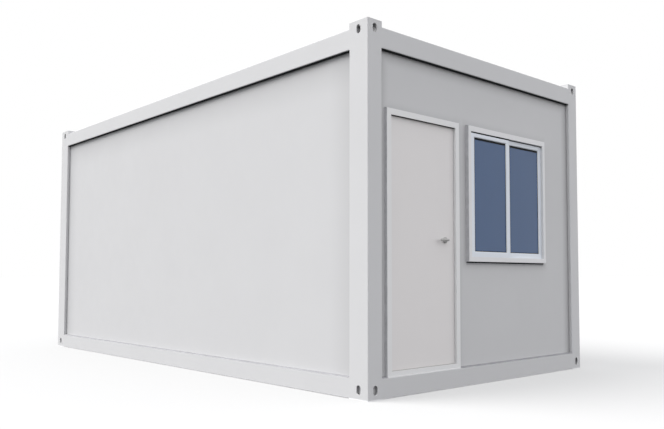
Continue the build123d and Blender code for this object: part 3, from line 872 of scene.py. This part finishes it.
class CABIN_OT_lever(bpy.types.Operator):
    """Make the smooth lever and its turned roses"""

    bl_idname = "cabin.lever"
    bl_label = "Lever"

    neck_radius: length("Neck radius", "Radius of the lever's neck", 9)
    bend_radius: length("Bend radius", "Radius of the bend from neck to grip, at its middle", 14)
    rose_rise: length("Rose rise", "How far a rose stands off the leaf", 9)
    sides: bpy.props.IntProperty(name="Sides", description="Facets round the lever", default=28, min=8)

    def execute(self, context):
        zinc = lacquered_zinc("satin_lacquer_on_die_cast_zinc", context.scene.cabin_colours.lever_lacquer)
        rose_low, rose_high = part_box("lever_roses")
        leaf_low, leaf_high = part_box("door_leaf")
        axis_x = (rose_low.x + rose_high.x) / 2
        axis_z = (rose_low.z + rose_high.z) / 2
        lever = bmesh.new()
        self.draw_grip(lever, axis_x, axis_z, leaf_low.y)
        copied = bmesh.ops.duplicate(lever, geom=[*lever.verts, *lever.edges, *lever.faces])["geom"]
        to_inside = Matrix.Translation((0, leaf_low.y + leaf_high.y, 0)) @ Matrix.Scale(-1, 4, (0, 1, 0))
        bmesh.ops.transform(lever, matrix=to_inside, verts=pick(copied, BMVert))
        finish_piece(lever, "lever_handle", zinc, "lever", ["door_lever"])
        roses = bmesh.new()
        for face_y, outwards in ((leaf_low.y, -1), (leaf_high.y, 1)):
            self.turn_rose(roses, axis_x, axis_z, face_y, outwards, axis_x - rose_low.x)
        finish_piece(roses, "lever_rose_covers", zinc, "door", ["lever_roses"])
        return {"FINISHED"}

    def draw_grip(self, bm, axis_x, axis_z, face_y):
        """The outer half: a round neck, a bend, and a grip that flattens towards a rounded tip."""
        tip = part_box("door_lever")[0]
        facing = Matrix.Translation((axis_x, face_y, axis_z)) @ Matrix.Rotation(QUARTER_TURN, 4, "X")
        bmesh.ops.create_circle(bm, segments=self.sides, radius=self.neck_radius, matrix=facing)
        grip_y = tip.y + self.neck_radius
        bend_y = grip_y + self.bend_radius
        edges = self.pull_ring(bm, list(bm.edges), Vector((0, bend_y - face_y, 0)))
        centre = Vector((axis_x - self.bend_radius, bend_y, axis_z))
        spun = bmesh.ops.spin(bm, geom=edges, cent=centre, axis=(0, 0, 1), angle=-QUARTER_TURN, steps=10)
        edges = pick(spun["geom_last"], BMEdge)
        reach = centre.x - tip.x
        # Share of the reach, then thickness and width against the neck's
        stations = (
            (0.25, 0.78, 1.06), (0.5, 0.66, 1.1), (0.75, 0.62, 1.1), (0.92, 0.6, 1.08),
            (0.97, 0.52, 0.95), (0.992, 0.36, 0.7), (1.0, 0.15, 0.35),
        )
        done, old_thickness, old_width = 0, 1, 1
        for share, thickness, width in stations:
            edges = self.pull_ring(bm, edges, Vector((-(share - done) * reach, 0, 0)))
            verts = list({vert for edge in edges for vert in edge.verts})
            factor = Vector((1, thickness / old_thickness, width / old_width))
            bmesh.ops.scale(bm, vec=factor, verts=verts, space=Matrix.Translation((0, -grip_y, -axis_z)))
            done, old_thickness, old_width = share, thickness, width
        bmesh.ops.contextual_create(bm, geom=edges)

    def pull_ring(self, bm, edges, run):
        """Draw a ring of edges out along a run, and give the new ring."""
        made = bmesh.ops.extrude_edge_only(bm, edges=edges)["geom"]
        verts = pick(made, BMVert)
        bmesh.ops.translate(bm, verts=verts, vec=run)
        return [edge for edge in pick(made, BMEdge) if set(edge.verts) <= set(verts)]

    def turn_rose(self, bm, axis_x, axis_z, face_y, outwards, radius):
        """A turned cover with a rounded rim, open in the middle for the neck."""
        bore = self.neck_radius + 0.3 * MM
        rim = 3 * MM
        rim_steps = 5
        profile = [(bore, 0), (radius, 0)]
        for step in range(rim_steps + 1):
            turn = QUARTER_TURN * step / rim_steps
            out = radius - rim + rim * math.cos(turn)
            profile.append((out, self.rose_rise - rim + rim * math.sin(turn)))
        profile += [(bore, self.rose_rise), profile[0]]
        verts = [bm.verts.new((axis_x + out, face_y + outwards * up, axis_z)) for out, up in profile]
        edges = [bm.edges.new(pair) for pair in zip(verts, verts[1:])]
        centre = (axis_x, face_y, axis_z)
        bmesh.ops.spin(
            bm, geom=verts + edges, cent=centre, axis=(0, 1, 0), angle=math.tau, steps=48, use_merge=True
        )


class CABIN_OT_window(bpy.types.Operator):
    """Finish the sliding window: frame, sashes, glass, gaskets, head and sill seals, and latch; the black
    seals and the gaskets' tops are painted shadow
    """

    bl_idname = "cabin.window"
    bl_label = "Window"

    def execute(self, context):
        colours = context.scene.cabin_colours
        sizes = context.scene.cabin_sizes
        plastic = moulded_plastic("extruded_pvc_window_frame", colours.window_plastic)
        coat(["window_jambs", "window_head", "window_sill"], plastic)
        coat(["window_sashes"], moulded_plastic("extruded_pvc_sash", colours.sash_plastic))
        coat(["window_glass"], tinted_glass("body_tinted_float_glass", colours.glass))
        rubber = cellular_rubber("epdm_rubber_glazing", colours.rubber)
        self.fit_gaskets(sizes, rubber)
        self.fit_head_seal_as_shadow(sizes, rubber)
        self.fit_sill_seal_as_shadow(sizes, rubber)
        self.fit_latch(sizes, satin_steel("satin_stainless_steel_sash_latch", colours.steel))
        return {"FINISHED"}

    def sash_widths(self, sizes):
        """Width of one sash, and width of a stile beside its glass."""
        low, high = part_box("window_sashes")
        return (high.x - low.x + sizes.sash_overlap) / 2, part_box("window_glass")[0].x - low.x

    def fit_gaskets(self, sizes, rubber):
        """A gasket round each pane, outside and inside, taller along the top as a painted shadow under the
        sash's top rail.
        """
        low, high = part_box("window_sashes")
        sash_width, stile = self.sash_widths(sizes)
        half_sash = sizes.sash_thickness / 2
        play = 0.1 * MM
        off_middle = sizes.glass_thickness / 2 + play
        up = (low.z + stile, high.z - stile)
        gaskets = bmesh.new()
        for sash_left, middle_y in ((low.x, low.y + half_sash), (high.x - sash_width, high.y - half_sash)):
            across = (sash_left + stile, sash_left + sash_width - stile)
            for outwards in (-1, 1):
                glass_y = middle_y + outwards * off_middle
                through = (glass_y, glass_y + outwards * sizes.gasket_rise)
                upright_ring(gaskets, across, up, through, sizes.gasket_sight, sizes.painted_shadow_gasket_top)
        finish_piece(gaskets, "glazing_gaskets", rubber, "cabin")

    def fit_head_seal_as_shadow(self, sizes, rubber):
        """Black brush seals that close the gaps between the head and the two sashes, and stand in for the
        shadow line under the head as painted shadow.
        """
        low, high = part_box("window_sashes")
        meeting = low.x + self.sash_widths(sizes)[0]
        rise = 1.5 * MM
        slope = 0.7 * MM
        tall = sizes.head_shadow_seal_height
        runs = (
            (low.x, meeting, low.y, high.z - tall),
            (meeting, high.x, high.y - sizes.sash_thickness, high.z - tall / 2),
        )
        seals = bmesh.new()
        for start, end, face, foot in runs:
            section = ((face, high.z), (face - rise, high.z), (face - rise, foot + slope), (face, foot))
            bar(seals, ACROSS, section, start, end)
        finish_piece(seals, "head_seal_painted_shadow", rubber, "cabin")

    def fit_sill_seal_as_shadow(self, sizes, rubber):
        """A black seal between the sill and the wall under it: painted shadow under the sill."""
        low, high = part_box("window_jambs")
        wall_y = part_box("front_wall_under_window")[0].y
        front = wall_y - sizes.sill_shadow_seal_rise
        tall = sizes.sill_shadow_seal_height
        section = ((wall_y, low.z), (front, low.z), (front, low.z - 0.6 * tall), (wall_y, low.z - tall))
        seal = bmesh.new()
        bar(seal, ACROSS, section, low.x, high.x)
        finish_piece(seal, "sill_seal_painted_shadow", rubber, "cabin")

    def fit_latch(self, sizes, steel):
        """A crescent latch on the room side of the inner sash, and its keeper on the outer sash."""
        low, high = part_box("window_sashes")
        sash_width, stile = self.sash_widths(sizes)
        inner_left = high.x - sash_width
        place = Vector((inner_left + stile / 2, high.y, (low.z + high.z) / 2))
        latch = bmesh.new()
        self.draw_cam(latch, place)
        plate = Vector((11, 4, 42)) * MM
        eased_block(latch, place - Vector((plate.x, 0, plate.z)), place + plate, ease=1 * MM)
        screw_head(latch, place, TOWARDS_ROOM, radius=13 * MM, height=15 * MM, sides=28)
        tail_low = place + Vector((-6, 9, -4)) * MM
        tail_size = Vector((12, 8, 66)) * MM
        eased_block(latch, tail_low, tail_low + tail_size, ease=2.5 * MM)
        for share in (-0.8, 0.8):
            spot = place + Vector((0, plate.y, share * plate.z))
            screw_head(latch, spot, TOWARDS_ROOM, radius=4 * MM, height=1 * MM)
        sheet = 3 * MM
        foot_y = low.y + sizes.sash_thickness
        foot_end = inner_left - sheet
        hook_x = inner_left - 30 * MM
        hook_end = hook_x + 6 * sheet
        hook_y = high.y + 16 * MM
        plan = (
            (hook_x, foot_y), (foot_end, foot_y), (foot_end, foot_y + sheet),
            (hook_x + sheet, foot_y + sheet), (hook_x + sheet, hook_y - sheet),
            (hook_end, hook_y - sheet), (hook_end, hook_y), (hook_x, hook_y),
        )
        keeper_half = 18 * MM
        bar(latch, UPRIGHT, plan, place.z - keeper_half, place.z + keeper_half)
        finish_piece(latch, "sash_latch", steel, "cabin")

    def draw_cam(self, bm, place):
        """The latch's cam: half a thick disc, standing off the sash."""
        cam_radius = 42 * MM
        cam_rise = 8 * MM
        cam_thickness = 4 * MM
        cam_place = place + Vector((0, cam_rise, 0))
        facing = Matrix.Translation(cam_place) @ TOWARDS_ROOM
        bmesh.ops.create_circle(bm, cap_ends=True, segments=36, radius=cam_radius, matrix=facing)
        whole = [*bm.verts, *bm.edges, *bm.faces]
        bmesh.ops.bisect_plane(bm, geom=whole, plane_co=cam_place, plane_no=(1, 0, 0), clear_outer=True)
        pull_faces(bm, list(bm.faces), (0, cam_thickness, 0))


class CABIN_OT_studio(bpy.types.Operator):
    """Set up the floor, the light and the camera"""

    bl_idname = "cabin.studio"
    bl_label = "Studio"

    floor_half: length("Floor half width", "Half the width of the studio floor", 900000)

    def execute(self, context):
        studio = context.scene.cabin_studio
        context.scene.view_settings.view_transform = "Standard"
        self.lay_floor(studio)
        self.light_sky(context, studio)
        self.hang_lamp("key_light", studio.key_direction, studio.key_strength, studio.key_spread)
        self.hang_lamp("fill_light", studio.fill_direction, studio.fill_strength, studio.fill_spread)
        bpy.data.lights["key_light"].color = studio.key_colour[:3]
        self.stand_camera(context, studio)
        return {"FINISHED"}

    def picture_rays(self, tree):
        """One for the rays that the picture shows, straight, mirrored or through glass; else zero."""
        path = add_node(tree, "ShaderNodeLightPath").outputs
        shown = path["Is Camera Ray"]
        for kind in ("Is Glossy Ray", "Is Transmission Ray"):
            shown = add_node(tree, "ShaderNodeMath", {0: shown, 1: path[kind]}, operation="MAXIMUM")
        return shown

    def lay_floor(self, studio):
        """A wide pale floor that looks white where it is lit and keeps the cabin's shadow."""
        bm = bmesh.new()
        bmesh.ops.create_grid(bm, x_segments=1, y_segments=1, size=self.floor_half)
        material = bpy.data.materials.new("white_studio_floor")
        tree = cleared_tree(material)
        plain = add_node(tree, "ShaderNodeBsdfDiffuse", {"Color": tuple(studio.floor)})
        lit = add_node(tree, "ShaderNodeBsdfDiffuse", {"Color": tuple(studio.floor_shown)})
        glow = {"Color": tuple(studio.white), "Strength": studio.floor_white}
        own_white = add_node(tree, "ShaderNodeEmission", glow)
        shown = add_node(tree, "ShaderNodeAddShader", {0: lit, 1: own_white})
        both = add_node(tree, "ShaderNodeMixShader", {0: self.picture_rays(tree), 1: plain, 2: shown})
        add_node(tree, "ShaderNodeOutputMaterial", {"Surface": both})
        placed_mesh(bm, "studio_floor", material)

    def light_sky(self, context, studio):
        """Even light from all round, which the picture shows as white."""
        context.scene.world = bpy.data.worlds.new("studio_sky")
        tree = cleared_tree(context.scene.world)
        light = {"Color": tuple(studio.sky), "Strength": studio.sky_strength}
        even = add_node(tree, "ShaderNodeBackground", light)
        shown = add_node(tree, "ShaderNodeBackground", {"Color": tuple(studio.white), "Strength": 1.0})
        both = add_node(tree, "ShaderNodeMixShader", {0: self.picture_rays(tree), 1: even, 2: shown})
        add_node(tree, "ShaderNodeOutputWorld", {"Surface": both})

    def hang_lamp(self, name, direction, strength, spread):
        """A wide soft light: the key from behind the left side, or the fill from the front."""
        light = bpy.data.lights.new(name, "SUN")
        light.energy = strength
        light.angle = spread
        lamp = bpy.data.objects.new(name, light)
        lamp.rotation_euler = Vector(direction).to_track_quat("Z", "Y").to_euler()
        lamp.visible_glossy = False
        bpy.context.scene.collection.objects.link(lamp)

    def stand_camera(self, context, studio):
        """A camera at the picture's place, with its shift no larger than the framing needs."""
        camera = bpy.data.cameras.new("camera")
        camera.sensor_width = 36
        camera.lens = studio.focal_pixels / PICTURE_WIDTH * camera.sensor_width
        camera.shift_x = (PICTURE_WIDTH / 2 - studio.view_centre[0]) / PICTURE_WIDTH
        camera.shift_y = (studio.view_centre[1] - PICTURE_HEIGHT / 2) / PICTURE_WIDTH
        stand = bpy.data.objects.new("camera", camera)
        stand.location = studio.camera_place
        yaw, pitch = studio.camera_yaw, studio.camera_pitch
        level = math.cos(pitch)
        ahead = Vector((level * math.sin(yaw), level * math.cos(yaw), math.sin(pitch)))
        stand.rotation_euler = ahead.to_track_quat("-Z", "Y").to_euler()
        context.scene.collection.objects.link(stand)
        context.scene.camera = stand


class CABIN_PT_parts(bpy.types.Panel):
    """Lists the cabin's operators and the values that they read"""

    bl_idname = "CABIN_PT_parts"
    bl_label = "Container cabin"
    bl_space_type = "VIEW_3D"
    bl_region_type = "UI"
    bl_category = "Cabin"

    def draw(self, context):
        for operator in OPERATORS:
            self.layout.operator(operator.bl_idname)
        for values in (context.scene.cabin_colours, context.scene.cabin_sizes, context.scene.cabin_studio):
            box = self.layout.box()
            for name in values.__annotations__:
                box.prop(values, name)


OPERATORS = (
    CABIN_OT_frame,
    CABIN_OT_walls,
    CABIN_OT_roof,
    CABIN_OT_room,
    CABIN_OT_door,
    CABIN_OT_lever,
    CABIN_OT_window,
    CABIN_OT_studio,
)
VALUES = {"cabin_colours": CabinColours, "cabin_sizes": CabinSizes, "cabin_studio": CabinStudio}


def register():
    for values in VALUES.values():
        bpy.utils.register_class(values)
    for name, values in VALUES.items():
        setattr(bpy.types.Scene, name, bpy.props.PointerProperty(type=values))
    for operator in OPERATORS:
        bpy.utils.register_class(operator)
    bpy.utils.register_class(CABIN_PT_parts)


def unregister():
    bpy.utils.unregister_class(CABIN_PT_parts)
    for operator in reversed(OPERATORS):
        bpy.utils.unregister_class(operator)
    for name, values in VALUES.items():
        delattr(bpy.types.Scene, name)
        bpy.utils.unregister_class(values)


def main():
    register()
    bpy.ops.cabin.frame()
    bpy.ops.cabin.walls()
    bpy.ops.cabin.roof()
    bpy.ops.cabin.room()
    bpy.ops.cabin.door()
    bpy.ops.cabin.lever()
    bpy.ops.cabin.window()
    bpy.ops.cabin.studio()


if __name__ == "__main__":
    main()
